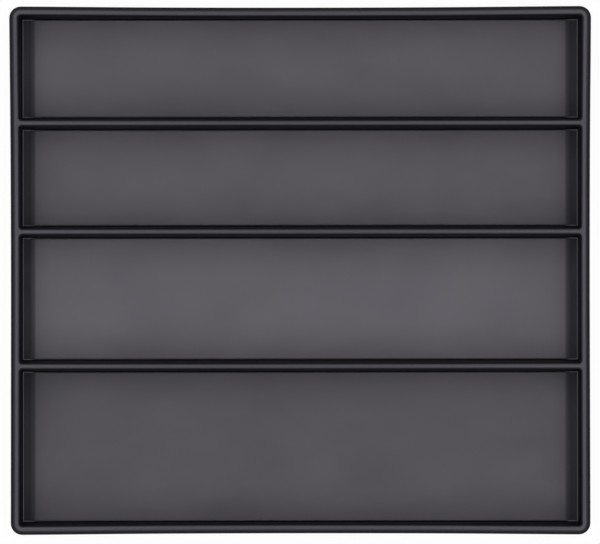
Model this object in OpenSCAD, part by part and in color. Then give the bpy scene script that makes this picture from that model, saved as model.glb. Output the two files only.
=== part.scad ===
// Drawer organiser tray with four long compartments, lift-out grip liners and rubber feet.
// Units are millimetres. X runs along the compartments, +Y points to the rear, +Z points up.
// The origin is the middle of the tray's outline, on the surface that the feet stand on.

/* [Overall size] */
// Length of the tray along its compartments
tray_w = 380; // [300:1:460]
// Depth of the tray from its rear edge to its front edge
tray_d = 345; // [300:1:430]
// Height from the standing surface to the top of the rim
tray_h = 40; // [26:0.5:60]
// Plan radius of the four outer corners
corner_r = 7.6; // [6:0.1:20]

/* [Compartments] */
// Spacing between the crowns on both sides of the rear compartment
rear_pitch = 72.3; // [40:0.1:90]
// Spacing between the crowns on both sides of the second compartment
second_pitch = 71; // [40:0.1:90]
// Spacing between the crowns on both sides of the third compartment
third_pitch = 87.8; // [40:0.1:110]
// Plan radius of a compartment's corners at the crown; it shrinks to nothing down the drafted walls
inner_corner_r = 0.85; // [0.5:0.05:1.2]
// Fillet where a wall meets the compartment floor
foot_fillet_r = 1; // [0.3:0.1:1.2]

/* [Walls] */
// Radius of the crown on its compartment side
crown_r = 2.55; // [2:0.05:4]
// Radius of the rim's crown on its outer side
rim_outer_r = 3.85; // [2.5:0.05:6]
// Width of the flat land along the top of every crown
crown_land = 0.6; // [0.4:0.1:1.2]
// Draft angle of the compartment walls
draft_angle = 1.7; // [1:0.1:3]
// Inward lean of the outer skirt at its lower edge
skirt_lean = 0.6; // [0.2:0.1:1.5]
// Skin thickness of the folded rim, its skirt and the folded dividers
wall_skin = 1.7; // [1.2:0.1:1.9]
// Thickness of the compartment floors
floor_t = 2; // [1.5:0.1:3]

/* [Underside] */
// Height of the floor's underside above the standing surface
floor_rise = 3.5; // [3:0.1:6]
// Gap between the skirt's lower edge and the standing surface
skirt_gap = 1.5; // [0.8:0.1:3]
// Chamfer along the skirt's lower outer edge
skirt_chamfer = 0.5; // [0.2:0.1:0.8]
// Depth of the stiffening ribs below the floor
rib_h = 1.2; // [0.6:0.1:1.8]
// Thickness of the ribs and of the webs inside the folded walls
web_t = 1.4; // [1:0.1:2.4]
// Number of ribs from front to rear
rib_count = 6; // [4:2:10]
// Number of webs inside each short side of the rim, in each compartment
side_webs = 2; // [1:1:3]
// Width of the rib that runs along the middle of each floor
spine_w = 1.8; // [1:0.1:3]
// Depth from the crown down to the top edge of every web
web_drop = 9; // [5:0.5:14]

/* [Feet] */
// Diameter of a rubber foot
foot_d = 12; // [9:0.5:18]
// Radial clearance of a foot in its socket ring
foot_play = 0.2; // [0.1:0.05:0.4]
// Wall thickness of a socket ring
socket_wall = 1.8; // [1.2:0.1:3]
// Depth of a socket ring below the floor
socket_h = 1.6; // [0.8:0.1:2]
// Distance of the feet from the tray's outline
foot_inset = 27; // [22:0.5:36]
// Radius of a foot's rounded lower edge
foot_edge_r = 0.8; // [0.3:0.1:1.2]
// Depth of the suction dimple below a foot
dimple_depth = 0.5; // [0.2:0.1:1]

/* [Liners] */
// Thickness of a grip liner
liner_t = 1.5; // [1:0.1:3]
// Gap between a liner's long edge and the fillet at the foot of the wall
liner_side_gap = 0.15; // [0.1:0.05:2]
// Finger gap between a liner's end and the foot of the wall
liner_end_gap = 5; // [3:0.1:12]
// Length of the thinned end of a liner
liner_taper = 4.4; // [1:0.1:6]
// Thickness left at the tip of a liner's thinned end
liner_tip_t = 0.4; // [0.3:0.1:1.2]
// Plan radius of a liner's corners
liner_corner_r = 2; // [1:0.1:5]

/* [Hidden] */
$fn = 64;

// Heights.
skirt_z = skirt_gap;
under_z = floor_rise;
floor_z = floor_rise + floor_t;
crown_z = tray_h - sqrt(crown_r * crown_r - crown_land * crown_land / 4);
rim_z = tray_h - rim_outer_r;

// Crown lines, from the rear rim to the front rim.
crown_x = tray_w / 2 - rim_outer_r;
y_rear = tray_d / 2 - rim_outer_r;
y_first = y_rear - rear_pitch;
y_second = y_first - second_pitch;
y_third = y_second - third_pitch;
y_front = -tray_d / 2 + rim_outer_r;
crown_y = [y_rear, y_first, y_second, y_third, y_front];

// The flank starts this far inside the crown's circle, so that the two meet in a clean edge.
flank_bite = 0.012;
// Distance of a drafted flank from its crown line at a height.
function flank(z) = crown_r / cos(draft_angle) - flank_bite + (crown_z - z) * tan(draft_angle);
// Distance of the skirt's outer face from the outline at a height.
function lean(z) = skirt_lean * (rim_z - z) / (rim_z - skirt_z);

// Height at which the flank is left for the crown.
meet_z = crown_z + crown_r * sin(draft_angle);
flank_foot = flank(floor_z);
fillet_u = flank(floor_z + foot_fillet_r) + foot_fillet_r / cos(draft_angle);
// Plan radius where two crowns meet, measured on the crown lines.
junction_r = crown_r + inner_corner_r;
// Height at which a compartment's corner has become almost sharp, and the radius left there.
tip_z = max(floor_z + foot_fillet_r + 1,
            crown_z - (junction_r - 0.1 + flank_bite - crown_r / cos(draft_angle)) / tan(draft_angle));
tip_r = junction_r - flank(tip_z);

// The hollow inside the folds keeps one skin thickness round the crowns.
slot_in_r = crown_r - wall_skin;
slot_out_r = rim_outer_r - wall_skin;
slot_top = crown_z + slot_in_r;
slot_foot = flank(skirt_z) - wall_skin;

// Ribs, webs, feet and liners.
rib_pitch = (tray_w - 56) / rib_count;
foot_x = tray_w / 2 - foot_inset;
foot_y = tray_d / 2 - foot_inset;
socket_r = foot_d / 2 + foot_play;
liner_x = crown_x - flank_foot - liner_end_gap;

body_colour = [0.09, 0.09, 0.1];
liner_colour = [0.34, 0.33, 0.36];
foot_colour = [0.05, 0.05, 0.05];

// ---- profiles ----------------------------------------------------------------------------

// Free space beside one wall: x is the distance from the crown line, y is the height.
module free_side_2d(reach)
{
    difference() {
        union() {
            polygon([
                [reach, floor_z],
                [fillet_u, floor_z],
                [fillet_u - foot_fillet_r * cos(draft_angle),
                 floor_z + foot_fillet_r - foot_fillet_r * sin(draft_angle)],
                [flank(meet_z), meet_z],
                [crown_land / 2, meet_z],
                [crown_land / 2, tray_h + 2],
                [reach, tray_h + 2]
            ]);
            translate([fillet_u, floor_z + foot_fillet_r])
                circle(r = foot_fillet_r);
        }
        translate([0, crown_z])
            circle(r = crown_r);
    }
}

// Free space of a compartment between two crown lines that are span apart.
module free_span_2d(span)
{
    free_side_2d(span / 2 + 0.2);
    translate([span, 0])
        mirror([1, 0])
            free_side_2d(span / 2 + 0.2);
}

// Free space round a vertical axis, where two walls meet in a rounded corner.
module free_corner_2d()
{
    difference() {
        polygon([
            [0, tip_z],
            [tip_r, tip_z],
            [junction_r - flank(meet_z), meet_z],
            [junction_r - crown_land / 2, meet_z],
            [junction_r - crown_land / 2, tray_h + 2],
            [0, tray_h + 2]
        ]);
        translate([junction_r, crown_z])
            circle(r = crown_r);
    }
}

// Section of the whole tray block: a drafted skirt under a rounded rim, span wide.
module block_span_2d(span)
{
    intersection() {
        polygon([
            [skirt_lean + skirt_chamfer, skirt_z],
            [span - skirt_lean - skirt_chamfer, skirt_z],
            [span - lean(skirt_z + skirt_chamfer), skirt_z + skirt_chamfer],
            [span, rim_z],
            [span, tray_h + 1],
            [0, tray_h + 1],
            [0, rim_z],
            [lean(skirt_z + skirt_chamfer), skirt_z + skirt_chamfer]
        ]);
        union() {
            translate([0, skirt_z])
                square([span, rim_z - skirt_z]);
            translate([rim_outer_r, rim_z - 1])
                square([span - 2 * rim_outer_r, rim_outer_r + 1]);
            translate([rim_outer_r, rim_z])
                circle(r = rim_outer_r);
            translate([span - rim_outer_r, rim_z])
                circle(r = rim_outer_r);
        }
    }
}

// Section of the hollow between the skirt and the inner wall; x is the distance inwards.
module rim_slot_2d()
{
    polygon([
        [skirt_lean + wall_skin, skirt_z - 1],
        [rim_outer_r + slot_foot, skirt_z - 1],
        [rim_outer_r + slot_foot, skirt_z],
        [rim_outer_r + slot_in_r, crown_z],
        [rim_outer_r, crown_z],
        [rim_outer_r, slot_top - slot_out_r],
        [wall_skin, slot_top - slot_out_r],
        [skirt_lean + wall_skin, skirt_z]
    ]);
    intersection() {
        translate([rim_outer_r, slot_top - slot_out_r])
            circle(r = slot_out_r);
        translate([0, slot_top - slot_out_r - 0.5])
            square([rim_outer_r, slot_out_r + 1]);
    }
    intersection() {
        translate([rim_outer_r, crown_z])
            circle(r = slot_in_r);
        translate([rim_outer_r, crown_z - 0.5])
            square([slot_in_r + 1, slot_in_r + 1]);
    }
}

// Section of the hollow inside a divider, centred on its crown line.
module divider_slot_2d()
{
    polygon([
        [-slot_foot, skirt_z - 1],
        [slot_foot, skirt_z - 1],
        [slot_foot, skirt_z],
        [slot_in_r, crown_z],
        [-slot_in_r, crown_z],
        [-slot_foot, skirt_z]
    ]);
    translate([0, crown_z])
        circle(r = slot_in_r);
}

// ---- placing helpers ---------------------------------------------------------------------

// A section drawn across Y and Z, run along X from x0 to x1.
module run_x(x0, x1)
{
    translate([x0, 0, 0])
        rotate([90, 0, 90])
            linear_extrude(height = x1 - x0)
                children();
}

// A section drawn across X and Z, run along Y from y0 to y1.
module run_y(y0, y1)
{
    translate([0, y1, 0])
        rotate([90, 0, 0])
            linear_extrude(height = y1 - y0)
                children();
}

// ---- tray body ---------------------------------------------------------------------------

// The tray's outside form, solid.
module block()
{
    side_x = tray_w / 2 - corner_r;
    side_y = tray_d / 2 - corner_r;
    run_x(-side_x, side_x)
        translate([-tray_d / 2, 0])
            block_span_2d(tray_d);
    run_y(-side_y, side_y)
        translate([-tray_w / 2, 0])
            block_span_2d(tray_w);
    for (sx = [-1, 1])
        for (sy = [-1, 1])
            translate([sx * side_x, sy * side_y, 0])
                rotate_extrude()
                    intersection() {
                        translate([-corner_r, 0])
                            block_span_2d(2 * corner_r);
                        square([corner_r + 1, tray_h + 2]);
                    }
}

// The free space of one compartment, between two crown lines.
module compartment(y_back, y_fore)
{
    inner_x = crown_x - junction_r;
    difference() {
        intersection() {
            run_x(-crown_x, crown_x)
                translate([y_fore, 0])
                    free_span_2d(y_back - y_fore);
            run_y(y_fore, y_back)
                translate([-crown_x, 0])
                    free_span_2d(2 * crown_x);
        }
        for (sx = [-1, 1])
            for (y = [y_fore, y_back - junction_r])
                translate([sx * (crown_x - junction_r / 2) - junction_r / 2, y, tip_z])
                    cube([junction_r, junction_r, tray_h + 3 - tip_z]);
    }
    for (sx = [-1, 1])
        for (y = [y_fore + junction_r, y_back - junction_r])
            translate([sx * inner_x, y, 0])
                rotate_extrude()
                    free_corner_2d();
}

// The hollow inside the folded rim, open downwards.
module rim_slot()
{
    side_x = tray_w / 2 - corner_r;
    side_y = tray_d / 2 - corner_r;
    run_x(-side_x, side_x) {
        translate([-tray_d / 2, 0])
            rim_slot_2d();
        translate([tray_d / 2, 0])
            mirror([1, 0])
                rim_slot_2d();
    }
    run_y(-side_y, side_y) {
        translate([-tray_w / 2, 0])
            rim_slot_2d();
        translate([tray_w / 2, 0])
            mirror([1, 0])
                rim_slot_2d();
    }
    for (turn = [0, 1, 2, 3]) {
        sx = turn == 0 || turn == 3 ? 1 : -1;
        sy = turn < 2 ? 1 : -1;
        translate([sx * side_x, sy * side_y, 0])
            rotate([0, 0, 90 * turn])
                rotate_extrude(angle = 90)
                    translate([corner_r, 0])
                        mirror([1, 0])
                            rim_slot_2d();
    }
}

// The hollows inside the three dividers, open downwards into the rim's hollow.
module divider_slots()
{
    reach = crown_x + 0.3;
    for (i = [1, 2, 3])
        run_x(-reach, reach)
            translate([crown_y[i], 0])
                divider_slot_2d();
}

// The space below the floor, inside the skirt.
module under_space()
{
    inset = rim_outer_r + slot_foot - 0.4;
    translate([-tray_w / 2 + inset, -tray_d / 2 + inset, skirt_z - 1])
        cube([tray_w - 2 * inset, tray_d - 2 * inset, under_z - skirt_z + 1]);
}

// Ribs below the floor, with a web inside every fold that they cross.
module ribs()
{
    web_in = rim_outer_r + crown_r - 0.4;
    web_half = crown_r - 0.25;
    rib_z = under_z - rib_h;
    for (i = [0 : rib_count - 1]) {
        x = (i - (rib_count - 1) / 2) * rib_pitch;
        translate([x - web_t / 2, -tray_d / 2 + skirt_lean + 0.6, rib_z])
            cube([web_t, tray_d - 2 * skirt_lean - 1.2, rib_h + 0.5]);
        for (j = [1, 2, 3])
            translate([x - web_t / 2, crown_y[j] - web_half, rib_z])
                cube([web_t, 2 * web_half, tray_h - web_drop - rib_z]);
        for (sy = [-1, 1])
            translate([x - web_t / 2, sy * (tray_d / 2 - (web_in + 1.2) / 2) - (web_in - 1.2) / 2, rib_z])
                cube([web_t, web_in - 1.2, tray_h - web_drop - rib_z]);
    }
}

// A wide low rib along the middle of each floor.
module spines()
{
    for (i = [0 : 3])
        translate([-tray_w / 2 + skirt_lean + 0.6,
                   (crown_y[i] + crown_y[i + 1] - spine_w) / 2,
                   under_z - rib_h])
            cube([tray_w - 2 * skirt_lean - 1.2, spine_w, rib_h + 0.5]);
}

// Webs inside the folds of the two short sides.
module side_rim_webs()
{
    web_in = rim_outer_r + crown_r - 0.4;
    rib_z = under_z - rib_h;
    for (i = [0 : 3])
        for (k = [1 : side_webs])
            for (sx = [-1, 1])
                translate([sx * (tray_w / 2 - (web_in + 1.2) / 2) - (web_in - 1.2) / 2,
                           crown_y[i] + (crown_y[i + 1] - crown_y[i]) * k / (side_webs + 1) - web_t / 2,
                           rib_z])
                    cube([web_in - 1.2, web_t, tray_h - web_drop - rib_z]);
}

// Places of the six feet.
module at_feet()
{
    for (x = [-foot_x, 0, foot_x])
        for (y = [-foot_y, foot_y])
            translate([x, y, 0])
                children();
}

module tray_body()
{
    color(body_colour)
    difference() {
        union() {
            difference() {
                block();
                for (i = [0 : 3])
                    compartment(crown_y[i], crown_y[i + 1]);
                rim_slot();
                divider_slots();
                under_space();
            }
            ribs();
            spines();
            side_rim_webs();
            at_feet()
                translate([0, 0, under_z - socket_h])
                    cylinder(r = socket_r + socket_wall, h = socket_h + 0.5);
        }
        at_feet()
            translate([0, 0, under_z - socket_h - 1])
                cylinder(r = socket_r, h = socket_h + 1);
    }
}

// ---- liners ------------------------------------------------------------------------------

// One grip liner, lying on the floor between two crown lines.
module liner(y_back, y_fore)
{
    y0 = y_fore + fillet_u + liner_side_gap;
    y1 = y_back - fillet_u - liner_side_gap;
    color(liner_colour)
    intersection() {
        translate([0, y1, 0])
            rotate([90, 0, 0])
                linear_extrude(height = y1 - y0)
                    polygon([
                        [-liner_x, floor_z],
                        [liner_x, floor_z],
                        [liner_x, floor_z + liner_tip_t],
                        [liner_x - liner_taper, floor_z + liner_t],
                        [-liner_x + liner_taper, floor_z + liner_t],
                        [-liner_x, floor_z + liner_tip_t]
                    ]);
        translate([0, 0, floor_z - 1])
            linear_extrude(height = liner_t + 2)
                union() {
                    translate([-liner_x + liner_corner_r, y0])
                        square([2 * liner_x - 2 * liner_corner_r, y1 - y0]);
                    translate([-liner_x, y0 + liner_corner_r])
                        square([2 * liner_x, y1 - y0 - 2 * liner_corner_r]);
                    for (sx = [-1, 1])
                        for (y = [y0 + liner_corner_r, y1 - liner_corner_r])
                            translate([sx * (liner_x - liner_corner_r), y])
                                circle(r = liner_corner_r);
                }
    }
}

module liner_rear() { liner(crown_y[0], crown_y[1]); }
module liner_second() { liner(crown_y[1], crown_y[2]); }
module liner_third() { liner(crown_y[2], crown_y[3]); }
module liner_front() { liner(crown_y[3], crown_y[4]); }

// ---- feet --------------------------------------------------------------------------------

// One rubber foot: a disc with a rounded lower edge and a shallow suction dimple.
module foot(x, y)
{
    r = foot_d / 2;
    color(foot_colour)
    translate([x, y, 0])
        rotate_extrude()
            difference() {
                union() {
                    translate([0, foot_edge_r])
                        square([r, under_z - foot_edge_r]);
                    square([r - foot_edge_r, foot_edge_r + 0.1]);
                    translate([r - foot_edge_r, foot_edge_r])
                        circle(r = foot_edge_r);
                }
                polygon([[0, -1], [r * 0.5, -1], [r * 0.5, 0], [r * 0.36, dimple_depth], [0, dimple_depth]]);
            }
}

module foot_rear_left() { foot(-foot_x, foot_y); }
module foot_rear_middle() { foot(0, foot_y); }
module foot_rear_right() { foot(foot_x, foot_y); }
module foot_front_left() { foot(-foot_x, -foot_y); }
module foot_front_middle() { foot(0, -foot_y); }
module foot_front_right() { foot(foot_x, -foot_y); }

// ---- nodes -------------------------------------------------------------------------------

tray_body();
liner_rear();
liner_second();
liner_third();
liner_front();
foot_rear_left();
foot_rear_middle();
foot_rear_right();
foot_front_left();
foot_front_middle();
foot_front_right();
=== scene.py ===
import logging
import math
from collections import Counter
from dataclasses import dataclass, field
from enum import Enum
from typing import Callable, ClassVar, Sequence

import bpy
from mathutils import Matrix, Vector


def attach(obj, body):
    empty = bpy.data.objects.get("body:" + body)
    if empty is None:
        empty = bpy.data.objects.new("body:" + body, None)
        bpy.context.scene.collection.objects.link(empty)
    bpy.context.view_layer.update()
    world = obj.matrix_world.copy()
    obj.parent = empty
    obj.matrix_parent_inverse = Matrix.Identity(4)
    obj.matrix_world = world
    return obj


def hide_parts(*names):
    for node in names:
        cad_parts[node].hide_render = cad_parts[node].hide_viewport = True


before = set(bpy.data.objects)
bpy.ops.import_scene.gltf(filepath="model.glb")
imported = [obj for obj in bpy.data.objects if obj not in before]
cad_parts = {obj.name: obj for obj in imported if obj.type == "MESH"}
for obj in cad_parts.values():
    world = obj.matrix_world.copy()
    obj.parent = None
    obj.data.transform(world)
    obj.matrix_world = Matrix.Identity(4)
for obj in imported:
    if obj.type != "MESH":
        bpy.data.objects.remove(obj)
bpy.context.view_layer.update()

LOG = logging.getLogger("tray")
MM = 0.001
SAME_PLACE = 2e-6
FLAT = 0.999
ROUND_SIDES = 48
NOISE_LOW, NOISE_HIGH = 0.3, 0.7
VIOLET_TINT = (0.93, 0.89, 1.0, 1)

Point = tuple[float, float]
Colour = tuple[float, float, float]
Piece = bpy.types.Object
Socket = bpy.types.NodeSocket


class Slot(Enum):
    """Material slots of the record."""

    TRAY = "tray"
    LINER = "liner"
    FOOT = "foot"


class Part(Enum):
    """Kinds of mesh element that can be picked, with the select mode of each."""

    VERTEX = (True, False, False)
    EDGE = (False, True, False)
    FACE = (False, False, True)


class Bay(Enum):
    """The four compartments, from the rear of the tray to its front."""

    REAR = 0
    SECOND = 1
    THIRD = 2
    FRONT = 3

    @property
    def tone(self) -> float:
        """Painted light and shade: a factor on this compartment's sheet colour for how much light falls on
        it.
        """
        return {Bay.REAR: 0.9, Bay.SECOND: 0.89, Bay.THIRD: 1.08, Bay.FRONT: 0.78}[self]


class Surface(Enum):
    """Surfaces of the moulding, in the order of its materials."""

    GLOSS = 0
    FLOOR = 1
    SIDE = 2


@dataclass(frozen=True)
class Step:
    """One step of a wall profile: how far it goes inwards and how far it rises."""

    inward: float
    rise: float


def steps_along(points: Sequence[Point]) -> list[Step]:
    """Turn profile points into the steps between them.

    Args:
        points: (distance inwards, height) along the profile, in millimetres.

    Returns:
        One step for each pair of neighbouring points, in metres.
    """
    return [Step((b[0] - a[0]) * MM, (b[1] - a[1]) * MM) for a, b in zip(points, points[1:])]


def arc(centre: Point, radius: float, start: float, end: float, count: int) -> list[Point]:
    """Points along a round of a profile.

    Args:
        centre: (distance inwards, height) of the round's centre, in millimetres.
        radius: radius of the round, in millimetres.
        start: first angle, in degrees, 0 pointing inwards and 90 pointing up.
        end: last angle, in degrees.
        count: number of steps along the round.

    Returns:
        count + 1 points, both ends among them.
    """
    turns = [math.radians(start + (end - start) * i / count) for i in range(count + 1)]
    return [(centre[0] + radius * math.cos(t), centre[1] + radius * math.sin(t)) for t in turns]


class Bench:
    """The workbench: the operator steps that every piece is made with."""

    @staticmethod
    def take(piece: Piece) -> None:
        """Leave edit mode, deselect everything and take up one piece.

        Args:
            piece: the object to work on.
        """
        if bpy.context.object is not None and bpy.context.object.mode != "OBJECT":
            bpy.ops.object.mode_set(mode="OBJECT")
        bpy.ops.object.select_all(action="DESELECT")
        piece.select_set(True)
        bpy.context.view_layer.objects.active = piece

    @staticmethod
    def pick(piece: Piece, part: Part, test: Callable[[bpy.types.ID], bool]) -> int:
        """Select the mesh elements that pass a test and stay in edit mode.

        Args:
            piece: the object to work on.
            part: the kind of element to pick.
            test: says whether an element is wanted.

        Returns:
            The number of elements picked.
        """
        Bench.take(piece)
        mesh = piece.data
        for group in (mesh.vertices, mesh.edges, mesh.polygons):
            group.foreach_set("select", [False] * len(group))
        groups = {Part.VERTEX: mesh.vertices, Part.EDGE: mesh.edges, Part.FACE: mesh.polygons}
        wanted = [element for element in groups[part] if test(element)]
        for element in wanted:
            element.select = True
        bpy.context.tool_settings.mesh_select_mode = part.value
        bpy.ops.object.mode_set(mode="EDIT")
        return len(wanted)

    @staticmethod
    def pick_all(piece: Piece) -> None:
        """Select a whole mesh and stay in edit mode."""
        Bench.pick(piece, Part.FACE, lambda face: True)
        bpy.ops.mesh.select_all(action="SELECT")

    @staticmethod
    def pick_level(piece: Piece, height: float) -> int:
        """Select the edges that lie at one height, and stay in edit mode.

        Args:
            piece: the object to work on.
            height: the height, in metres.

        Returns:
            The number of edges picked.
        """
        points = piece.data.vertices

        def level(edge: bpy.types.MeshEdge) -> bool:
            """Whether both ends of an edge lie at the height."""
            return all(abs(points[v].co.z - height) < SAME_PLACE for v in edge.vertices)

        return Bench.pick(piece, Part.EDGE, level)

    @staticmethod
    def cut(axis: int, place: float) -> None:
        """Cut right across the mesh in edit mode, square to X (0) or Y (1), at a place in millimetres."""
        point, normal = Vector(), Vector()
        point[axis], normal[axis] = place * MM, 1
        bpy.ops.mesh.select_all(action="SELECT")
        bpy.ops.mesh.bisect(plane_co=point, plane_no=normal)

    @staticmethod
    def done() -> None:
        """Leave edit mode."""
        bpy.ops.object.mode_set(mode="OBJECT")

    @staticmethod
    def settle() -> None:
        """Put the selected object's place, turn and scale into its mesh."""
        bpy.ops.object.transform_apply(location=True, rotation=True, scale=True)

    @staticmethod
    def apply(piece: Piece, modifier: bpy.types.Modifier) -> None:
        """Apply a modifier to its piece."""
        Bench.take(piece)
        bpy.ops.object.modifier_apply(modifier=modifier.name)

    @staticmethod
    def join(pieces: Sequence[Piece], name: str) -> Piece:
        """Join several objects into the first one.

        Args:
            pieces: the objects to join.
            name: name of the joined object.

        Returns:
            The joined object.
        """
        Bench.take(pieces[0])
        for piece in pieces:
            piece.select_set(True)
        bpy.ops.object.join()
        pieces[0].name = name
        pieces[0].data.name = name
        return pieces[0]

    @staticmethod
    def tidy(piece: Piece) -> None:
        """Merge doubles and turn all faces outwards."""
        Bench.pick_all(piece)
        bpy.ops.mesh.remove_doubles(threshold=SAME_PLACE)
        bpy.ops.mesh.normals_make_consistent(inside=False)
        Bench.done()

    @staticmethod
    def check_closed(piece: Piece) -> None:
        """Stop with an error unless every edge of a piece lies between exactly two faces.

        Args:
            piece: the finished piece.
        """
        uses = Counter(key for face in piece.data.polygons for key in face.edge_keys)
        faults = sum(count != 2 for count in uses.values()) + len(piece.data.edges) - len(uses)
        if faults:
            raise RuntimeError(f"{piece.name}: {faults} edges are open or shared by more than two faces")

    @staticmethod
    def smooth(piece: Piece, angle: float) -> None:
        """Shade rounds smoothly and keep flats flat.

        Args:
            piece: the object to shade.
            angle: edges sharper than this stay sharp, in degrees.
        """
        Bench.take(piece)
        bpy.ops.object.shade_smooth_by_angle(angle=math.radians(angle))
        weights = piece.modifiers.new("flats stay flat", "WEIGHTED_NORMAL")
        weights.keep_sharp = True
        weights.weight = 100
        Bench.apply(piece, weights)

    @staticmethod
    def block(name: str, low: Sequence[float], high: Sequence[float]) -> Piece:
        """A square bar between two corners.

        Args:
            name: name of the object.
            low: lowest corner, in millimetres.
            high: highest corner, in millimetres.

        Returns:
            The bar.
        """
        centre = [(a + b) / 2 * MM for a, b in zip(low, high)]
        size = [(b - a) * MM for a, b in zip(low, high)]
        bpy.ops.object.select_all(action="DESELECT")
        bpy.ops.mesh.primitive_cube_add(size=1, location=centre)
        bar = bpy.context.object
        bar.name = name
        Bench.pick_all(bar)
        bpy.ops.transform.resize(value=size, center_override=centre)
        Bench.done()
        Bench.settle()
        return bar


@dataclass(frozen=True)
class Plan:
    """A rectangle with rounded corners, seen from above, in millimetres."""

    centre: Point
    size: Point
    corner: float
    segments: int = 6

    def sheet(self, name: str, height: float) -> Piece:
        """Lay the plan down as one flat face that looks up.

        Args:
            name: name of the new object.
            height: height of the face, in millimetres.

        Returns:
            The object, at the origin, with its place in its mesh.
        """
        place = (self.centre[0] * MM, self.centre[1] * MM, height * MM)
        bpy.ops.object.select_all(action="DESELECT")
        bpy.ops.mesh.primitive_plane_add(size=1, location=place)
        sheet = bpy.context.object
        sheet.name = name
        Bench.pick(sheet, Part.VERTEX, lambda vertex: True)
        scale = (self.size[0] * MM, self.size[1] * MM, 1)
        bpy.ops.transform.resize(value=scale, center_override=place)
        bpy.ops.mesh.bevel(
            offset_type="OFFSET", offset=self.corner * MM, segments=self.segments, profile=0.5,
            affect="VERTICES",
        )
        Bench.done()
        Bench.settle()
        return sheet

    def bowl(self, name: str, profile: Sequence[Point], keep_floor: bool) -> Piece:
        """Build a wall inwards from the plan's outline by insetting its face along a profile.

        Args:
            name: name of the new object.
            profile: (distance inwards, height) of the wall, in millimetres, starting at the outline.
            keep_floor: whether the face that is left inside the wall stays.

        Returns:
            The wall, open at its first edge.
        """
        wall = self.sheet(name, profile[0][1])
        Bench.pick_all(wall)
        gone, height = 0.0, profile[0][1] * MM
        for step in steps_along(profile):
            bpy.ops.mesh.inset(
                thickness=step.inward, depth=step.rise, use_even_offset=True, use_boundary=True
            )
            gone += step.inward
            height += step.rise
            if abs(gone - self.corner * MM) < SAME_PLACE:
                self.sharpen(wall, height)
        if not keep_floor:
            bpy.ops.mesh.delete(type="ONLY_FACE")
        Bench.done()
        last = profile[-1]
        if last[0] - profile[0][0] > self.corner:
            left = [v for v in wall.data.vertices if abs(v.co.z - last[1] * MM) < SAME_PLACE]
            if len(left) != 4:
                raise RuntimeError(f"{name}: {len(left)} floor corners instead of 4")
        return wall

    def sharpen(self, wall: Piece, height: float) -> None:
        """Draw each corner's points together where its radius has run out, and select the face inside.

        Args:
            wall: the wall, inset as far as the corners' radius.
            height: height of its innermost outline, in metres.
        """
        near, close = self.corner / 4 * MM, 5 * SAME_PLACE
        half_x, half_y = (length / 2 - self.corner for length in self.size)
        for x, y in ((half_x, half_y), (-half_x, half_y), (-half_x, -half_y), (half_x, -half_y)):
            corner = Vector(((self.centre[0] + x) * MM, (self.centre[1] + y) * MM, height))
            Bench.pick(wall, Part.VERTEX, lambda vertex: (vertex.co - corner).length < near)
            bpy.ops.transform.resize(value=(0, 0, 1), center_override=corner)
            bpy.ops.mesh.remove_doubles(threshold=close)
        Bench.pick(wall, Part.FACE, lambda face: len(face.vertices) == 4 and face.normal.z > FLAT
                   and abs(face.center.z - height) < close)

    def grow_down(self, wall: Piece, profile: Sequence[Point]) -> None:
        """Extrude a wall's outline downwards along a profile.

        Args:
            wall: the object whose outline lies on this plan.
            profile: (distance inwards from the plan, height), in millimetres, starting at the outline.
        """
        Bench.pick_level(wall, profile[0][1] * MM)
        for (near, high), (far, low) in zip(profile, profile[1:]):
            bpy.ops.mesh.extrude_edges_move(TRANSFORM_OT_translate={"value": (0, 0, (low - high) * MM)})
            factors = [(side - 2 * far) / (side - 2 * near) for side in self.size]
            bpy.ops.transform.resize(value=(*factors, 1), center_override=(0, 0, low * MM))
        Bench.done()


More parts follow.
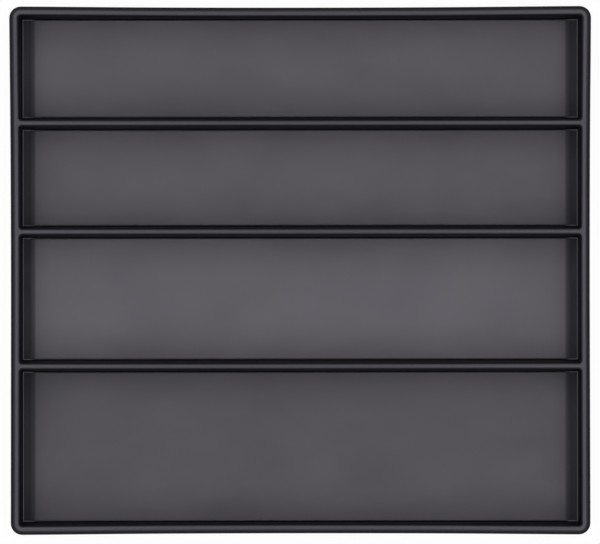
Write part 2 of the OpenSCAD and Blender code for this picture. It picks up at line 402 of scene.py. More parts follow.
class Nodes:
    """A new material's node tree and short ways to fill it."""

    MIX_A, MIX_B, MIX_RESULT = 6, 7, 2

    def __init__(self, name: str) -> None:
        """Start a material with one Principled shader.

        Args:
            name: name of the material.
        """
        self.material = bpy.data.materials.new(name)
        self.material.use_nodes = True
        self.tree = self.material.node_tree
        self.shader = self.tree.nodes["Principled BSDF"]
        self.object_place = self.add("ShaderNodeTexCoord").outputs["Object"]

    def add(self, kind: str, **values: object) -> bpy.types.Node:
        """Add a node.

        Args:
            kind: the node's type name.
            **values: settings of the node, or of its input sockets with spaces written as underscores.

        Returns:
            The new node.
        """
        node = self.tree.nodes.new(kind)
        for key, value in values.items():
            socket = key.replace("_", " ").title()
            if hasattr(node, key):
                setattr(node, key, value)
            else:
                node.inputs[socket].default_value = value
        return node

    def shade(self, **values: object) -> None:
        """Give the shader's input sockets fixed values, with spaces written as underscores."""
        for key, value in values.items():
            self.shader.inputs[key.replace("_", " ")].default_value = value

    def link(self, source: Socket, target: Socket) -> None:
        """Join an output to an input."""
        self.tree.links.new(source, target)

    def noise(self, scale: float, detail: float, stretch: Sequence[float] = (1, 1, 1)) -> Socket:
        """A noise over the piece, in the piece's own place.

        Args:
            scale: waves per metre.
            detail: how many finer layers are added.
            stretch: factor on the place along each axis.

        Returns:
            The noise's value, about 0.5 on average.
        """
        mapping = self.add("ShaderNodeMapping")
        mapping.inputs["Scale"].default_value = stretch
        noise = self.add("ShaderNodeTexNoise", scale=scale, detail=detail)
        self.link(self.object_place, mapping.inputs["Vector"])
        self.link(mapping.outputs["Vector"], noise.inputs["Vector"])
        return noise.outputs["Fac"]

    def spread(self, value: Socket, low: float, high: float) -> Socket:
        """Map a noise onto a range.

        Args:
            value: the noise.
            low: result where the noise is weak.
            high: result where the noise is strong.

        Returns:
            The mapped value.
        """
        ranged = self.add(
            "ShaderNodeMapRange", from_min=NOISE_LOW, from_max=NOISE_HIGH, to_min=low, to_max=high
        )
        self.link(value, ranged.inputs["Value"])
        return ranged.outputs["Result"]

    def between(self, value: Socket, dark: Sequence[float], light: Sequence[float]) -> Socket:
        """Mix two colours by a noise.

        Args:
            value: the noise.
            dark: colour where the noise is weak.
            light: colour where the noise is strong.

        Returns:
            The mixed colour.
        """
        ramp = self.add("ShaderNodeValToRGB")
        stops = ((NOISE_LOW, dark), (NOISE_HIGH, light))
        for element, (position, colour) in zip(ramp.color_ramp.elements, stops):
            element.position = position
            element.color = (*colour, 1)
        self.link(value, ramp.inputs["Fac"])
        return ramp.outputs["Color"]

    def fade(self, colour: Socket, below: Sequence[float], end: float, reach: float) -> Socket:
        """Let a colour turn into another towards a sheet's two ends along X, over the length where the
        sheet thins.

        Args:
            colour: the sheet's own colour.
            below: colour seen at the very ends.
            end: distance of the ends from the middle, along X, in metres.
            reach: length of the fade, in metres.

        Returns:
            The faded colour.
        """
        axes = self.add("ShaderNodeSeparateXYZ")
        self.link(self.object_place, axes.inputs["Vector"])
        far = self.add("ShaderNodeMath", operation="ABSOLUTE")
        self.link(axes.outputs["X"], far.inputs[0])
        ranged = self.add("ShaderNodeMapRange", from_min=end - reach, from_max=end)
        self.link(far.outputs["Value"], ranged.inputs["Value"])
        mix = self.add("ShaderNodeMix", data_type="RGBA")
        self.link(ranged.outputs["Result"], mix.inputs["Factor"])
        self.link(colour, mix.inputs[self.MIX_A])
        mix.inputs[self.MIX_B].default_value = (*below, 1)
        return mix.outputs[self.MIX_RESULT]

    def bumps(self, layers: Sequence[tuple[Socket, float]]) -> None:
        """Lay bumps over one another and give them to the shader.

        Args:
            layers: pairs of a height noise and the bump's height in metres.
        """
        below = None
        for height, distance in layers:
            bump = self.add("ShaderNodeBump", strength=1.0, distance=distance)
            self.link(height, bump.inputs["Height"])
            if below is not None:
                self.link(below, bump.inputs["Normal"])
            below = bump.outputs["Normal"]
        self.link(below, self.shader.inputs["Normal"])


@dataclass(frozen=True)
class GlossMoulding:
    """Black moulded plastic: glossy, with flow haze, soft smudges and a faint orange peel."""

    dark: Colour = (0.0028, 0.0026, 0.004)
    light: Colour = (0.0048, 0.0045, 0.0064)
    polished: float = 0.28
    hazy: float = 0.34

    def material(self) -> bpy.types.Material:
        """Build the material.

        Returns:
            The finished material.
        """
        nodes = Nodes("gloss moulding")
        flow = nodes.noise(scale=9, detail=3, stretch=(1, 3, 1))
        smudge = nodes.noise(scale=38, detail=5)
        peel = nodes.noise(scale=420, detail=2)
        grain = nodes.noise(scale=2600, detail=2)
        nodes.link(nodes.between(flow, self.dark, self.light), nodes.shader.inputs["Base Color"])
        nodes.link(nodes.spread(smudge, self.polished, self.hazy), nodes.shader.inputs["Roughness"])
        nodes.bumps([(peel, 4e-6), (grain, 6e-7)])
        nodes.shade(IOR=1.36, Specular_IOR_Level=0.85, Specular_Tint=VIOLET_TINT)
        return nodes.material


@dataclass(frozen=True)
class SparkedPlastic:
    """The same black plastic with a fine matt texture, for the moulding's floors and sides; the sides'
    copy has a darker colour, which is painted shade.
    """

    name: str
    dark: Colour = (0.0042, 0.0038, 0.006)
    light: Colour = (0.0082, 0.0075, 0.0105)
    shine: float = 0.25
    fine: float = 0.5
    coarse: float = 0.62

    def material(self) -> bpy.types.Material:
        """Build the material.

        Returns:
            The finished material.
        """
        nodes = Nodes(self.name)
        flow = nodes.noise(scale=9, detail=3, stretch=(1, 3, 1))
        rub = nodes.noise(scale=60, detail=4)
        nodes.link(nodes.between(flow, self.dark, self.light), nodes.shader.inputs["Base Color"])
        nodes.link(nodes.spread(rub, self.fine, self.coarse), nodes.shader.inputs["Roughness"])
        nodes.bumps([(nodes.noise(scale=1400, detail=3), 1.2e-5)])
        nodes.shade(Specular_IOR_Level=self.shine, Specular_Tint=VIOLET_TINT)
        return nodes.material


@dataclass(frozen=True)
class GripSheet:
    """Grey soft-touch sheet: fine pebbled grain, cloudy colour and a faint sheen."""

    dark: Colour = (0.0555, 0.0515, 0.0615)
    light: Colour = (0.066, 0.0612, 0.0725)
    # Colour that the sheet turns to at its very ends; the sheet darkens towards it along X.
    end_colour: Colour = (0.015, 0.0142, 0.017)
    smooth: float = 0.5
    rough: float = 0.62
    # Painted light and shade: scales the sheet colour for how much light falls on its compartment.
    tone: float = 1.0

    def material(self, end: float, taper: float) -> bpy.types.Material:
        """Build the material.

        Args:
            end: distance of the sheets' ends from the middle, in metres.
            taper: length over which the sheets thin out, in metres.

        Returns:
            The finished material.
        """
        nodes = Nodes("grip sheet")
        clouds = nodes.noise(scale=14, detail=4)
        rub = nodes.noise(scale=55, detail=4, stretch=(0.4, 1, 1))
        swell = nodes.noise(scale=300, detail=3)
        pebbles = nodes.add("ShaderNodeTexVoronoi", scale=1500.0)
        nodes.link(nodes.object_place, pebbles.inputs["Vector"])
        # Scale the sheet colours by the compartment's painted light and shade.
        dark, light = ([self.tone * part for part in colour] for colour in (self.dark, self.light))
        body = nodes.between(clouds, dark, light)
        nodes.link(nodes.fade(body, self.end_colour, end, taper), nodes.shader.inputs["Base Color"])
        nodes.link(nodes.spread(rub, self.smooth, self.rough), nodes.shader.inputs["Roughness"])
        nodes.bumps([(pebbles.outputs["Distance"], 2e-5), (swell, 1e-5)])
        nodes.shade(Specular_IOR_Level=0.25, Sheen_Weight=0.03, Sheen_Roughness=0.5)
        return nodes.material


@dataclass(frozen=True)
class FootRubber:
    """Matte black rubber with a dusty bloom."""

    dark: Colour = (0.009, 0.009, 0.009)
    light: Colour = (0.02, 0.0195, 0.019)
    worn: float = 0.65
    dusty: float = 0.85

    def material(self) -> bpy.types.Material:
        """Build the material.

        Returns:
            The finished material.
        """
        nodes = Nodes("foot rubber")
        bloom = nodes.noise(scale=220, detail=4)
        nodes.link(nodes.between(bloom, self.dark, self.light), nodes.shader.inputs["Base Color"])
        nodes.link(nodes.spread(bloom, self.worn, self.dusty), nodes.shader.inputs["Roughness"])
        nodes.bumps([(nodes.noise(scale=1800, detail=3), 2e-5)])
        return nodes.material


@dataclass(frozen=True)
class StudioWhite:
    """White paper floor: it keeps shadows, and looks white behind the object."""

    paper: Colour = (0.86, 0.86, 0.86)
    glow: float = 1.0
    glow_share: float = 0.93

    def material(self) -> bpy.types.Material:
        """Build the material.

        Returns:
            The finished material.
        """
        nodes = Nodes("studio white")
        nodes.shade(Base_Color=(*self.paper, 1), Roughness=0.9, Specular_IOR_Level=0.0)
        rays = nodes.add("ShaderNodeLightPath")
        glow = nodes.add("ShaderNodeEmission", strength=self.glow)
        seen = rays.outputs["Is Camera Ray"]
        for name in ("Is Glossy Ray", "Is Transmission Ray"):
            either = nodes.add("ShaderNodeMath", operation="MAXIMUM")
            nodes.link(seen, either.inputs[0])
            nodes.link(rays.outputs[name], either.inputs[1])
            seen = either.outputs["Value"]
        share = nodes.add("ShaderNodeMath", operation="MULTIPLY")
        share.inputs[1].default_value = self.glow_share
        nodes.link(seen, share.inputs[0])
        mix = nodes.add("ShaderNodeMixShader")
        nodes.link(share.outputs["Value"], mix.inputs["Fac"])
        nodes.link(nodes.shader.outputs["BSDF"], mix.inputs[1])
        nodes.link(glow.outputs["Emission"], mix.inputs[2])
        nodes.link(mix.outputs["Shader"], nodes.tree.nodes["Material Output"].inputs["Surface"])
        return nodes.material


@dataclass(frozen=True)
class TraySizes:
    """Sizes of the tray, in millimetres, shared by all its pieces."""

    width: float = 380.0
    depth: float = 345.0
    height: float = 40.0
    corner: float = 7.6
    pitches: tuple[float, float, float] = (72.3, 71.0, 87.8)
    inner_corner: float = 0.85
    fillet: float = 1.0
    crown: float = 2.55
    rim_outer: float = 3.85
    land: float = 0.6
    draft: float = 1.7
    lean: float = 0.6
    skin: float = 1.7
    floor: float = 5.5
    under: float = 3.5
    skirt: float = 1.5
    chamfer: float = 0.5
    ceiling: float = 0.25
    liner_end_gap: float = 5.0
    liner_taper: float = 4.4

    @property
    def crown_height(self) -> float:
        """Height of the centre of a crown's round."""
        return self.height - math.sqrt(self.crown**2 - self.land**2 / 4)

    @property
    def rim_height(self) -> float:
        """Height of the rim's widest line."""
        return self.height - self.rim_outer

    @property
    def slot_top(self) -> float:
        """Height of the ceiling inside the folds."""
        return self.crown_height + self.crown - self.skin

    @property
    def crown_x(self) -> float:
        """Distance of the side rims' crown lines from the middle."""
        return self.width / 2 - self.rim_outer

    @property
    def crown_lines(self) -> list[float]:
        """Places of the crown lines from the rear rim to the front rim."""
        lines = [self.depth / 2 - self.rim_outer]
        for pitch in self.pitches:
            lines.append(lines[-1] - pitch)
        return [*lines, -self.depth / 2 + self.rim_outer]

    def flank(self, height: float) -> float:
        """Distance of a drafted wall from its crown line at a height."""
        slope = math.radians(self.draft)
        return self.crown / math.cos(slope) + (self.crown_height - height) * math.tan(slope)

    @property
    def sharp_height(self) -> float:
        """Height below which the compartments' corners are sharp."""
        slope = math.radians(self.draft)
        return self.crown_height - (self.junction - self.crown / math.cos(slope)) / math.tan(slope)

    @property
    def fillet_start(self) -> float:
        """Distance of the floor fillet's centre from the crown line."""
        return self.flank(self.floor + self.fillet) + self.fillet / math.cos(math.radians(self.draft))

    @property
    def liner_end(self) -> float:
        """Distance of the liners' ends from the middle."""
        return self.crown_x - self.flank(self.floor) - self.liner_end_gap

    @property
    def junction(self) -> float:
        """Plan radius where two crown lines meet."""
        return self.crown + self.inner_corner

    def bay_plan(self, bay: Bay, inset: float) -> Plan:
        """Plan of one compartment, measured from its crown lines.

        Args:
            bay: the compartment.
            inset: distance inwards from the crown lines.

        Returns:
            The plan.
        """
        back, fore = self.crown_lines[bay.value], self.crown_lines[bay.value + 1]
        size = (2 * self.crown_x - 2 * inset, back - fore - 2 * inset)
        return Plan((0, (back + fore) / 2), size, self.junction - inset)


@dataclass(frozen=True)
class SurfaceRule:
    """Limits that sort the moulding's faces by surface. A slope is the Z of a face's normal.

    The bow of the rim leans some walls just past upright, so a wall's slope may be a little below 0.
    """

    floor_band: float = 0.2
    floor_slope: float = 0.995
    wall_slopes: Point = (-0.02, 0.45)
    outer_slopes: Point = (-0.2, 0.75)
    crown_share: float = 0.4


@dataclass
class TrayBody:
    """The tray itself: one black moulding with folded walls, floors, ribs and socket rings."""

    sizes: TraySizes
    finish: GlossMoulding = field(default_factory=GlossMoulding)
    floor_finish: SparkedPlastic = SparkedPlastic("sparked floor")
    # Painted shade: the steep sides get a darker copy of the floor's plastic, with a weaker shine.
    side_finish_painted_shade: SparkedPlastic = SparkedPlastic(
        "sparked sides painted shade", (0.0018, 0.0016, 0.0032), (0.0038, 0.0034, 0.0056), 0.1
    )
    rule: SurfaceRule = SurfaceRule()
    side_bow: tuple[float, ...] = (0.9, 1.05, 1.2, 0.9, 0.1)
    end_bow: tuple[float, ...] = (0.0, 0.8, 1.05, 0.8, 0.0)
    corner_steps: int = 8
    crown_steps: int = 8
    fillet_steps: int = 5
    ceiling_steps: int = 5
    rim_steps: int = 9
    ring_gap: float = 0.8
    cuts_along: int = 16
    cuts_across: tuple[float, ...] = (0.2, 0.5, 0.8)
    rib_height: float = 1.2
    rib_count: int = 6
    rib_margin: float = 28.0
    rib_inset: float = 0.6
    root: float = 0.5
    web: float = 1.4
    web_drop: float = 9.0
    web_inset: float = 1.2
    web_gap: float = 0.4
    web_gap_middle: float = 0.25
    side_webs: int = 2
    spine: float = 1.8
    foot_inset: float = 27.0
    socket: float = 6.2
    socket_wall: float = 1.8
    socket_height: float = 1.6
    NODE: ClassVar[str] = "tray_body"

    def compartment_profile(self) -> list[Point]:
        """Profile of a compartment wall: crown, drafted flank and floor fillet."""
        s = self.sizes
        centre = (0.0, s.crown_height)
        start = math.degrees(math.acos(s.land / 2 / s.crown))
        crown = arc(centre, s.crown, start, s.draft, self.crown_steps)
        crown[0] = (s.land / 2, s.height)
        foot_centre = (s.fillet_start, s.floor + s.fillet)
        foot = arc(foot_centre, s.fillet, 180 + s.draft, 270, self.fillet_steps)
        high, low = crown[-1][1], foot[0][1]
        heights = [high - self.ring_gap, s.sharp_height, low + self.ring_gap]
        middle = [(s.flank(z), z) for z in heights]
        return [*crown, *middle, *foot]

    def fold_profile(self) -> list[Point]:
        """Profile of the hollow side of a compartment wall, from the ceiling to the floor's underside."""
        s = self.sizes
        radius = s.crown - s.skin
        start = math.degrees(math.acos(s.ceiling / radius))
        ceiling = arc((0.0, s.crown_height), radius, start, 0, self.ceiling_steps)
        ceiling[0] = (s.ceiling, s.slot_top)
        return [*ceiling, (s.flank(s.under) - s.skin, s.under)]

    def rim_profile(self, radius: float, base: float, stop: float, top: float) -> list[Point]:
        """Outer round of the rim or of the hollow inside it, from its widest line to its top.

        Args:
            radius: radius of the round.
            base: height of the widest line.
            stop: distance from the crown line at which the round ends.
            top: height at which it ends.

        Returns:
            Profile points, with distances from the round's own widest line.
        """
        end = 180 - math.degrees(math.acos(stop / radius))
        points = arc((radius, base), radius, 180, end, self.rim_steps)
        points[-1] = (radius - stop, top)
        return points

    def shell(self) -> Piece:
        """Build the closed moulding without its ribs.

        Returns:
            The moulding.
        """
        s = self.sizes
        outside = Plan((0, 0), (s.width, s.depth), s.corner, self.corner_steps)
        rim = self.rim_profile(s.rim_outer, s.rim_height, s.land / 2, s.height)
        skirt = outside.bowl("skirt", rim, keep_floor=False)
        edge = s.lean * (s.rim_height - s.skirt - s.chamfer) / (s.rim_height - s.skirt)
        outside.grow_down(
            skirt,
            [(0, s.rim_height), (edge / 2, (s.rim_height + s.skirt) / 2), (edge, s.skirt + s.chamfer),
             (s.lean + s.chamfer, s.skirt)],
        )
        inner_radius = s.rim_outer - s.skin
        base = s.slot_top - inner_radius
        size = (s.width - 2 * s.skin, s.depth - 2 * s.skin)
        inside = Plan((0, 0), size, s.corner - s.skin, self.corner_steps)
        hollow = self.rim_profile(inner_radius, base, s.ceiling, s.slot_top)
        lining = inside.bowl("skirt lining", hollow, keep_floor=False)
        inside.grow_down(lining, [(0, base), (s.lean / 2, (base + s.skirt) / 2), (s.lean, s.skirt)])
        parts = [skirt, lining]
        for bay in Bay:
            wall, fold = s.bay_plan(bay, s.land / 2), s.bay_plan(bay, s.ceiling)
            parts.append(wall.bowl("compartment", self.compartment_profile(), keep_floor=True))
            parts.append(fold.bowl("fold", self.fold_profile(), keep_floor=True))
        shell = Bench.join(parts, self.NODE + "_shell")
        for height in (s.height, s.slot_top, s.skirt):
            Bench.pick_level(shell, height * MM)
            bpy.ops.mesh.fill(use_beauty=True)
            Bench.done()
        Bench.tidy(shell)
        return shell

    def divide(self, shell: Piece) -> None:
        """Cut the moulding across so that its long walls can bow.

        Args:
            shell: the moulding.
        """
        s = self.sizes
        places = [(0, s.width * (i / self.cuts_along - 0.5)) for i in range(1, self.cuts_along)]
        for back, fore in zip(s.crown_lines, s.crown_lines[1:]):
            places += [(1, fore + (back - fore) * share) for share in self.cuts_across]
        Bench.pick_all(shell)
        for axis, place in places:
            Bench.cut(axis, place)
        Bench.done()

    def rib_places(self) -> list[float]:
        """Places of the front-to-rear ribs along the tray."""
        pitch = (self.sizes.width - 2 * self.rib_margin) / self.rib_count
        return [(i - (self.rib_count - 1) / 2) * pitch for i in range(self.rib_count)]

    def foot_places(self) -> list[Point]:
        """Places of the six feet."""
        x = self.sizes.width / 2 - self.foot_inset
        y = self.sizes.depth / 2 - self.foot_inset
        return [(px, py) for py in (y, -y) for px in (-x, 0.0, x)]

    def rim_spans(self, edge: float) -> list[Point]:
        """Where the webs inside both rim folds of an axis run, its outline being this far out."""
        outer = edge - self.web_inset
        inner = edge - (self.sizes.rim_outer + self.sizes.crown - self.web_gap)
        return [(-outer, -inner), (inner, outer)]

    def ribwork(self) -> Piece:
        """Build the ribs, spines, webs and socket rings below the floors.

        Returns:
            One object that holds them all.
        """
        s = self.sizes
        low = s.under - self.rib_height
        high = s.height - self.web_drop
        roof = s.under + self.root
        half, half_spine, half_fold = self.web / 2, self.spine / 2, s.crown - self.web_gap_middle
        reach_x, reach_y = (length / 2 - s.lean - self.rib_inset for length in (s.width, s.depth))
        bars = []
        for x in self.rib_places():
            bars.append(((x - half, -reach_y, low), (x + half, reach_y, roof)))
            for y in s.crown_lines[1:-1]:
                bars.append(((x - half, y - half_fold, low), (x + half, y + half_fold, high)))
            for near, far in self.rim_spans(s.depth / 2):
                bars.append(((x - half, near, low), (x + half, far, high)))
        for back, fore in zip(s.crown_lines, s.crown_lines[1:]):
            middle = (back + fore) / 2
            bars.append(((-reach_x, middle - half_spine, low), (reach_x, middle + half_spine, roof)))
            for k in range(1, self.side_webs + 1):
                y = back + (fore - back) * k / (self.side_webs + 1)
                for near, far in self.rim_spans(s.width / 2):
                    bars.append(((near, y - half, low), (far, y + half, high)))
        pieces = [Bench.block("rib", *bar) for bar in bars]
        pieces += [self.socket_ring(place) for place in self.foot_places()]
        return Bench.join(pieces, "ribwork")

    def socket_ring(self, place: Point) -> Piece:
        """Build one ring that holds a foot.

        Args:
            place: the foot's place, in millimetres.

        Returns:
            The ring.
        """
        s = self.sizes
        low, high = s.under - self.socket_height, s.under + self.root
        outer = self.socket + self.socket_wall
        centre = (place[0] * MM, place[1] * MM, (low + high) / 2 * MM)
        bpy.ops.object.select_all(action="DESELECT")
        bpy.ops.mesh.primitive_cylinder_add(
            vertices=ROUND_SIDES, radius=outer * MM, depth=(high - low) * MM, location=centre,
            end_fill_type="NGON",
        )
        ring = bpy.context.object
        Bench.settle()
        Bench.pick(ring, Part.FACE, lambda face: face.normal.z < -FLAT)
        bpy.ops.mesh.inset(thickness=self.socket_wall * MM, depth=0, use_even_offset=True)
        bpy.ops.mesh.extrude_region_move(TRANSFORM_OT_translate={"value": (0, 0, self.socket_height * MM)})
        Bench.done()
        return ring

    def bow(self, body: Piece) -> None:
        """Let the free rim pull in between the corners, as thin moulded walls do.

        Args:
            body: the moulding.
        """
        s = self.sizes
        middle = (s.height + s.skirt) / 2 * MM
        bpy.ops.object.select_all(action="DESELECT")
        bpy.ops.object.add(type="LATTICE", location=(0, 0, middle))
        cage = bpy.context.object
        cage.scale = (s.width * MM, s.depth * MM, (s.height - s.skirt) * MM)
        cage.data.points_u, cage.data.points_v = len(self.end_bow), len(self.side_bow)
        cage.data.points_w = 2
        for direction in ("u", "v"):
            setattr(cage.data, "interpolation_type_" + direction, "KEY_CATMULL_ROM")
        cage.data.interpolation_type_w = "KEY_LINEAR"
        # A lattice's own places run from -0.5 to 0.5 along each axis.
        for point in cage.data.points:
            x, y, z = point.co
            rules = ((0, x, y, self.side_bow, s.width), (1, y, x, self.end_bow, s.depth))
            for axis, place, along, pulls, length in rules:
                if z > 0 and abs(place) > 0.49:
                    pull = pulls[round((len(pulls) - 1) * (along + 0.5))]
                    point.co_deform[axis] -= math.copysign(pull / length, place)
        bend = body.modifiers.new("bow", "LATTICE")
        bend.object = cage
        bpy.context.view_layer.update()
        Bench.apply(body, bend)
        bpy.data.objects.remove(cage)

    def surface_of(self, face: bpy.types.MeshPolygon) -> Surface:
        """Sort a face of the moulding.

        Args:
            face: the face.

        Returns:
            FLOOR for the flat floors, SIDE for the steep sides and GLOSS for all the rest.
        """
        s, rule, slope = self.sizes, self.rule, face.normal.z
        x, y, z = (value / MM for value in face.center)
        if abs(z - s.floor) < rule.floor_band and slope > rule.floor_slope:
            return Surface.FLOOR
        if abs(x) < s.crown_x and abs(y) < s.crown_lines[0]:
            low, high = rule.wall_slopes
            steep = z > s.floor + s.fillet and low < slope < high
        else:
            low, high = rule.outer_slopes
            steep = z < s.height - rule.crown_share * s.crown and low < slope < high
        return Surface.SIDE if steep else Surface.GLOSS

    def build(self) -> Piece:
        """Build, dress and mount the moulding.

        Returns:
            The finished piece.
        """
        body = self.shell()
        self.divide(body)
        ribs = self.ribwork()
        union = body.modifiers.new("ribs", "BOOLEAN")
        union.operation = "UNION"
        union.solver = "EXACT"
        union.use_self = True
        union.object = ribs
        Bench.apply(body, union)
        bpy.data.objects.remove(ribs)
        self.bow(body)
        Bench.tidy(body)
        Bench.smooth(body, angle=32)
        body.name = self.NODE + "_moulding"
        body.data.materials.clear()
        for finish in (self.finish, self.floor_finish, self.side_finish_painted_shade):
            body.data.materials.append(finish.material())
        for face in body.data.polygons:
            face.material_index = self.surface_of(face).value
        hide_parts(self.NODE)
        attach(body, "tray")
        return body


@dataclass
class GripLiner:
    """One loose grip sheet on a compartment floor, thinned at both ends to be lifted."""

    sizes: TraySizes
    bay: Bay
    material: bpy.types.Material
    thickness: float = 1.5
    side_gap: float = 0.15
    tip: float = 0.4
    corner: float = 2.0
    edge: float = 0.3
    taper_steps: int = 6
    cuts: tuple[int, int] = (24, 6)
    REACH_DIGITS: ClassVar[int] = 4
    SAME_REACH: ClassVar[float] = 6e-5

    @property
    def node(self) -> str:
        """Name of the CAD node that this sheet stands for."""
        return "liner_" + self.bay.name.lower()

    def plan(self) -> Plan:
        """Outline of the sheet."""
        s = self.sizes
        back, fore = s.crown_lines[self.bay.value], s.crown_lines[self.bay.value + 1]
        size = (2 * s.liner_end, back - fore - 2 * (s.fillet_start + self.side_gap))
        return Plan((0, (back + fore) / 2), size, self.corner, segments=5)

    def thin_ends(self, sheet: Piece) -> None:
        """Let both ends of the sheet run out thin in a soft slope.

        Args:
            sheet: the sheet, still of one thickness.
        """
        end = self.plan().size[0] / 2
        taper = self.sizes.liner_taper
        cuts = [end - taper * (1 - i / self.taper_steps) for i in range(self.taper_steps)]
        Bench.pick_all(sheet)
        for place in cuts:
            for side in (-1, 1):
                Bench.cut(0, side * place)
        Bench.done()
        top = (self.sizes.floor + self.thickness) * MM

        def reach(vertex: bpy.types.MeshVertex) -> float:
            """How far into the taper a vertex lies, from 0 to 1."""
            return min(max((abs(vertex.co.x) / MM - cuts[0]) / taper, 0), 1)

        def on_top(vertex: bpy.types.MeshVertex) -> bool:
            """Whether a vertex lies on the sheet's upper side, before that part of it has sunk."""
            return abs(vertex.co.z - top) < SAME_PLACE

        stations = {round(reach(v), self.REACH_DIGITS) for v in sheet.data.vertices if on_top(v)}
        for station in sorted(stations - {0}):
            drop = (self.thickness - self.tip) * station * station * (3 - 2 * station)
            Bench.pick(
                sheet, Part.VERTEX,
                lambda vertex: on_top(vertex) and abs(reach(vertex) - station) < self.SAME_REACH,
            )
            bpy.ops.transform.translate(value=(0, 0, -drop * MM))
        Bench.done()

    def build(self) -> Piece:
        """Build, dress and mount the sheet.

        Returns:
            The finished piece.
        """
        s = self.sizes
        plan = self.plan()
        sheet = plan.sheet(self.node + "_sheet", s.floor)
        Bench.pick_all(sheet)
        bpy.ops.mesh.extrude_region_move(TRANSFORM_OT_translate={"value": (0, 0, self.thickness * MM)})
        for axis, count in enumerate(self.cuts):
            for i in range(1, count):
                Bench.cut(axis, plan.centre[axis] + plan.size[axis] * (i / count - 0.5))
        Bench.done()
        self.thin_ends(sheet)
        Bench.tidy(sheet)
        soften = sheet.modifiers.new("soft edge", "BEVEL")
        soften.width = self.edge * MM
        soften.segments = 3
        soften.limit_method = "ANGLE"
        soften.angle_limit = math.radians(50)
        Bench.apply(sheet, soften)
        Bench.smooth(sheet, angle=45)
        sheet.data.materials.clear()
        sheet.data.materials.append(self.material)
        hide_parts(self.node)
        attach(sheet, self.node + "_body")
        return sheet


@dataclass
class RubberFeet:
    """The six rubber feet: one is turned and the others are copies of it."""

    sizes: TraySizes
    places: Sequence[Point]
    finish: FootRubber = field(default_factory=FootRubber)
    radius: float = 6.0
    edge: float = 0.8
    dimple: float = 0.5
    edge_steps: int = 6
    dish_share: float = 0.5
    slope_share: float = 0.14
    NAMES: ClassVar[tuple[str, ...]] = (
        "foot_rear_left", "foot_rear_middle", "foot_rear_right",
        "foot_front_left", "foot_front_middle", "foot_front_right",
    )

    def pattern(self) -> Piece:
        """Make the first foot, at the middle of the tray.

        Returns:
            The foot.
        """
        tall = self.sizes.under * MM
        bpy.ops.object.select_all(action="DESELECT")
        bpy.ops.mesh.primitive_cylinder_add(
            vertices=ROUND_SIDES, radius=self.radius * MM, depth=tall, location=(0, 0, tall / 2),
            end_fill_type="NGON",
        )
        foot = bpy.context.object
        Bench.settle()
        Bench.pick_level(foot, 0.0)
        bpy.ops.mesh.bevel(
            offset_type="OFFSET", offset=self.edge * MM, segments=self.edge_steps, profile=0.5,
            affect="EDGES",
        )
        Bench.pick(foot, Part.FACE, lambda face: face.normal.z < -FLAT)
        flat = (self.radius - self.edge) * MM
        dish = self.radius * self.dish_share * MM
        slope = self.radius * self.slope_share * MM
        bpy.ops.mesh.inset(thickness=flat - dish, depth=0, use_even_offset=True)
        bpy.ops.mesh.inset(thickness=slope, depth=-self.dimple * MM, use_even_offset=True)
        Bench.done()
        Bench.tidy(foot)
        Bench.smooth(foot, angle=40)
        foot.data.materials.clear()
        foot.data.materials.append(self.finish.material())
        return foot

    def build(self) -> list[Piece]:
        """Build, copy, dress and mount all six feet.

        Returns:
            The finished pieces.
        """
        pattern = self.pattern()
        feet = []
        for name, place in zip(self.NAMES, self.places):
            foot = pattern.copy()
            foot.data = pattern.data.copy()
            bpy.context.scene.collection.objects.link(foot)
            foot.name = name + "_rubber"
            Bench.take(foot)
            foot.location = (place[0] * MM, place[1] * MM, 0)
            Bench.settle()
            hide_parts(name)
            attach(foot, "tray")
            feet.append(foot)
        bpy.data.objects.remove(pattern)
        return feet


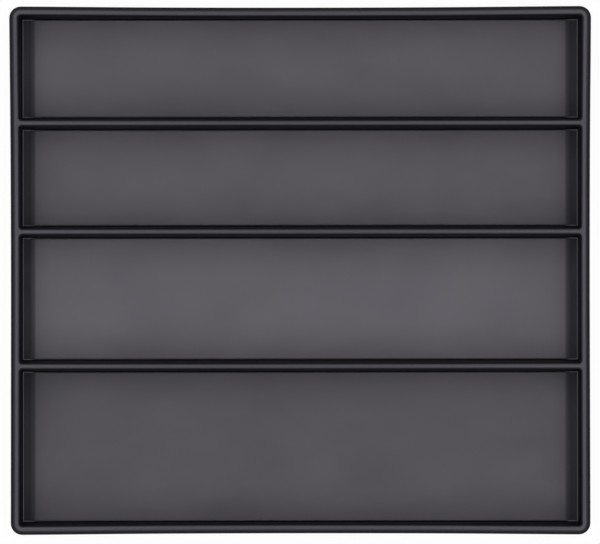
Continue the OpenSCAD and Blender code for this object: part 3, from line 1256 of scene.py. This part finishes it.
@dataclass
class Studio:
    """Floor, lamps, sky and camera. The camera looks straight down through a long lens."""

    sizes: TraySizes
    frame_width: float = 391.6
    distance: float = 5200.0
    aim: Point = (-0.23, -1.0)
    roll: float = -0.055
    sensor: float = 36.0
    floor_size: float = 30.0
    box_size: Point = (0.9, 2.6)
    box_place: tuple[float, float, float] = (0.56, 0.05, 1.5)
    box_radiance: float = 1.9
    ceiling_size: Point = (8.0, 8.0)
    ceiling_height: float = 2.4
    ceiling_radiance: float = 0.6
    sky: float = 0.25

    def floor(self) -> None:
        """Lay the white floor."""
        bpy.ops.object.select_all(action="DESELECT")
        bpy.ops.mesh.primitive_plane_add(size=self.floor_size, location=(0, 0, 0))
        floor = bpy.context.object
        floor.name = "floor"
        floor.data.materials.append(StudioWhite().material())

    @staticmethod
    def soft_box(name: str, place: Sequence[float], size: Point, radiance: float) -> None:
        """Hang one soft box that shines straight down.

        Args:
            name: name of the lamp.
            place: its middle, in metres.
            size: its length along X and along Y, in metres.
            radiance: how bright its face looks.
        """
        bpy.ops.object.select_all(action="DESELECT")
        bpy.ops.object.light_add(type="AREA", location=place)
        lamp = bpy.context.object
        lamp.name = name
        lamp.data.shape = "RECTANGLE"
        lamp.data.size, lamp.data.size_y = size
        lamp.data.energy = radiance * math.pi * size[0] * size[1]
        lamp.visible_camera = False

    def lamps(self) -> None:
        """Hang a soft box over each side of the tray and a pale ceiling above them, and set the sky."""
        x, y, z = self.box_place
        for side, place in (("left", -x), ("right", x)):
            self.soft_box("soft_box_" + side, (place, y, z), self.box_size, self.box_radiance)
        overhead = (0, 0, self.ceiling_height)
        self.soft_box("ceiling", overhead, self.ceiling_size, self.ceiling_radiance)
        world = bpy.context.scene.world or bpy.data.worlds.new("sky")
        bpy.context.scene.world = world
        world.use_nodes = True
        sky = world.node_tree.nodes["Background"]
        sky.inputs["Color"].default_value = (1, 1, 1, 1)
        sky.inputs["Strength"].default_value = self.sky

    def camera(self) -> None:
        """Set the camera over the tray."""
        bpy.ops.object.select_all(action="DESELECT")
        high = (self.sizes.rim_height + self.distance) * MM
        turn = (0, 0, math.radians(self.roll))
        bpy.ops.object.camera_add(location=(self.aim[0] * MM, self.aim[1] * MM, high), rotation=turn)
        camera = bpy.context.object
        camera.data.sensor_width = self.sensor
        camera.data.lens = self.sensor * self.distance / self.frame_width
        camera.data.clip_start = 0.1
        camera.data.clip_end = 50
        bpy.context.scene.camera = camera

    def build(self) -> None:
        """Set up the whole studio."""
        bpy.context.scene.view_settings.view_transform = "Standard"
        self.floor()
        self.lamps()
        self.camera()


def main() -> None:
    """Build the tray piece by piece, then the studio."""
    logging.basicConfig(level=logging.INFO, format="%(name)s: %(message)s")
    sizes = TraySizes()
    tray = TrayBody(sizes)
    pieces = [tray.build()]
    for bay in Bay:
        # Each sheet's colour carries its compartment's painted light and shade.
        sheet = GripSheet(tone=bay.tone).material(sizes.liner_end * MM, sizes.liner_taper * MM)
        pieces.append(GripLiner(sizes, bay, sheet).build())
    pieces += RubberFeet(sizes, tray.foot_places()).build()
    for piece in pieces:
        Bench.check_closed(piece)
        LOG.info("%s: %d faces, closed", piece.name, len(piece.data.polygons))
    Studio(sizes).build()


if __name__ == "__main__":
    main()
